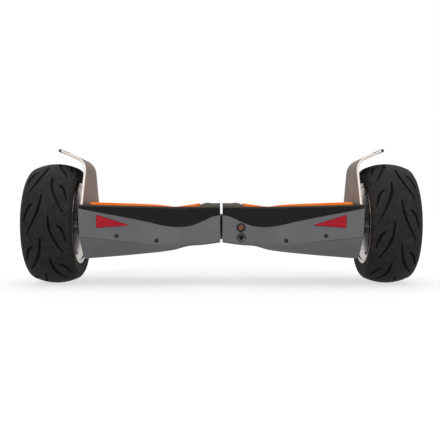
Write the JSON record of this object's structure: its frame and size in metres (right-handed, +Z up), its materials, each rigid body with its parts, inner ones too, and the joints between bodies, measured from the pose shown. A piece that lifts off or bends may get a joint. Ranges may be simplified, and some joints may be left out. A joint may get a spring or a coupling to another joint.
{
  "type": "hoverboard",
  "caption": "Self-balancing board: hinged halves with orange pressure footpads, hub-motor wheels in wide treaded tyres, bent metal fenders and red triangular rear reflectors.",
  "frame": {"origin": "on the ground under the centre of the board, midway between the wheels and under the axle line", "axes": "+X along the axle line to the half that holds the power button, -Y to the rear side that the picture shows, +Z up"},
  "size_m": [0.681, 0.2154, 0.2399],
  "materials": {
    "grey_shell": "moulded ABS, fine satin grain",
    "black_shell": "moulded ABS, gloss",
    "orange_mat": "moulded silicone rubber, matt",
    "tyre_rubber": "tyre rubber, matt",
    "trim_rubber": "extruded rubber edge, satin",
    "fender_aluminium": "anodised sheet, satin, bright cut edges",
    "cast_aluminium": "as cast, shot-blasted",
    "rim_aluminium": "cast, turned bright",
    "bright_steel": "turned and ground",
    "black_steel": "black oxide",
    "chromed_plastic": "chromed plastic",
    "red_lens": "moulded acrylic reflector",
    "clear_lens": "moulded clear acrylic",
    "black_plastic": "moulded nylon, matt",
    "circuit_board": "green solder mask",
    "control_board": "green board on a finned aluminium heat sink",
    "battery_wrap": "heat-shrink film over metal cells",
    "stator_winding": "enamelled copper on laminated steel",
    "button_plastic": "moulded cap, satin",
    "magnet_nickel": "nickel plated",
    "bush_bronze": "sintered bronze"
  },
  "bodies": {
    "left_half": {"left_chassis": "cast_aluminium", "left_upper_shell": "black_shell", "left_lower_shell": "grey_shell", "left_fender": "fender_aluminium", "left_fender_trim": "trim_rubber", "left_rear_reflector": "red_lens", "left_front_lamp": "clear_lens", "left_indicator_lens": "clear_lens", "left_sensor_board": "circuit_board", "left_axle_clamp": "bright_steel", "left_axle": "bright_steel", "left_stator": "stator_winding", "left_rear_screw_1": "black_steel", "left_rear_screw_2": "black_steel", "left_under_screw_1": "black_steel", "left_under_screw_2": "black_steel", "left_fender_screw_1": "black_steel", "left_fender_screw_2": "black_steel", "battery_pack": "battery_wrap", "pivot_bush": "bush_bronze"},
    "right_half": {"right_chassis": "cast_aluminium", "right_upper_shell": "black_shell", "right_lower_shell": "grey_shell", "right_fender": "fender_aluminium", "right_fender_trim": "trim_rubber", "right_rear_reflector": "red_lens", "right_front_lamp": "clear_lens", "right_indicator_lens": "clear_lens", "right_sensor_board": "circuit_board", "right_axle_clamp": "bright_steel", "right_axle": "bright_steel", "right_stator": "stator_winding", "right_rear_screw_1": "black_steel", "right_rear_screw_2": "black_steel", "right_under_screw_1": "black_steel", "right_under_screw_2": "black_steel", "right_fender_screw_1": "black_steel", "right_fender_screw_2": "black_steel", "main_board": "control_board", "pivot_tube": "bright_steel", "power_button_bezel": "chromed_plastic", "charge_port": "chromed_plastic", "wire_harness": "black_plastic"},
    "left_wheel": {"left_tyre": "tyre_rubber", "left_rim": "rim_aluminium", "left_motor_cover": "rim_aluminium", "left_magnet_ring": "magnet_nickel", "left_inner_bearing": "bright_steel", "left_outer_bearing": "bright_steel", "left_hub_cap": "black_plastic"},
    "right_wheel": {"right_tyre": "tyre_rubber", "right_rim": "rim_aluminium", "right_motor_cover": "rim_aluminium", "right_magnet_ring": "magnet_nickel", "right_inner_bearing": "bright_steel", "right_outer_bearing": "bright_steel", "right_hub_cap": "black_plastic"},
    "left_footpad": {"left_footpad": "orange_mat"},
    "right_footpad": {"right_footpad": "orange_mat"},
    "power_button": {"power_button": "button_plastic"}
  },
  "joints": [
    {"name": "center_twist", "type": "hinge", "parent": "left_half", "child": "right_half", "pos_m": [0, 0, 0.10767], "axis": [1, 0, 0], "range_deg": [-12, 12]},
    {"name": "left_wheel_spin", "type": "hinge", "parent": "left_half", "child": "left_wheel", "pos_m": [-0.297, 0, 0.10767], "axis": [1, 0, 0], "continuous": true},
    {"name": "right_wheel_spin", "type": "hinge", "parent": "right_half", "child": "right_wheel", "pos_m": [0.297, 0, 0.10767], "axis": [1, 0, 0], "continuous": true},
    {"name": "left_footpad_press", "type": "slide", "parent": "left_half", "child": "left_footpad", "axis": [0, 0, -1], "range_m": [0, 0.0015], "stiffness_N_per_m": 4000, "springref_m": -0.001},
    {"name": "right_footpad_press", "type": "slide", "parent": "right_half", "child": "right_footpad", "axis": [0, 0, -1], "range_m": [0, 0.0015], "stiffness_N_per_m": 4000, "springref_m": -0.001},
    {"name": "power_button_press", "type": "slide", "parent": "right_half", "child": "power_button", "axis": [0, 1, 0], "range_m": [0, 0.0015], "stiffness_N_per_m": 800, "springref_m": -0.001}
  ]
}
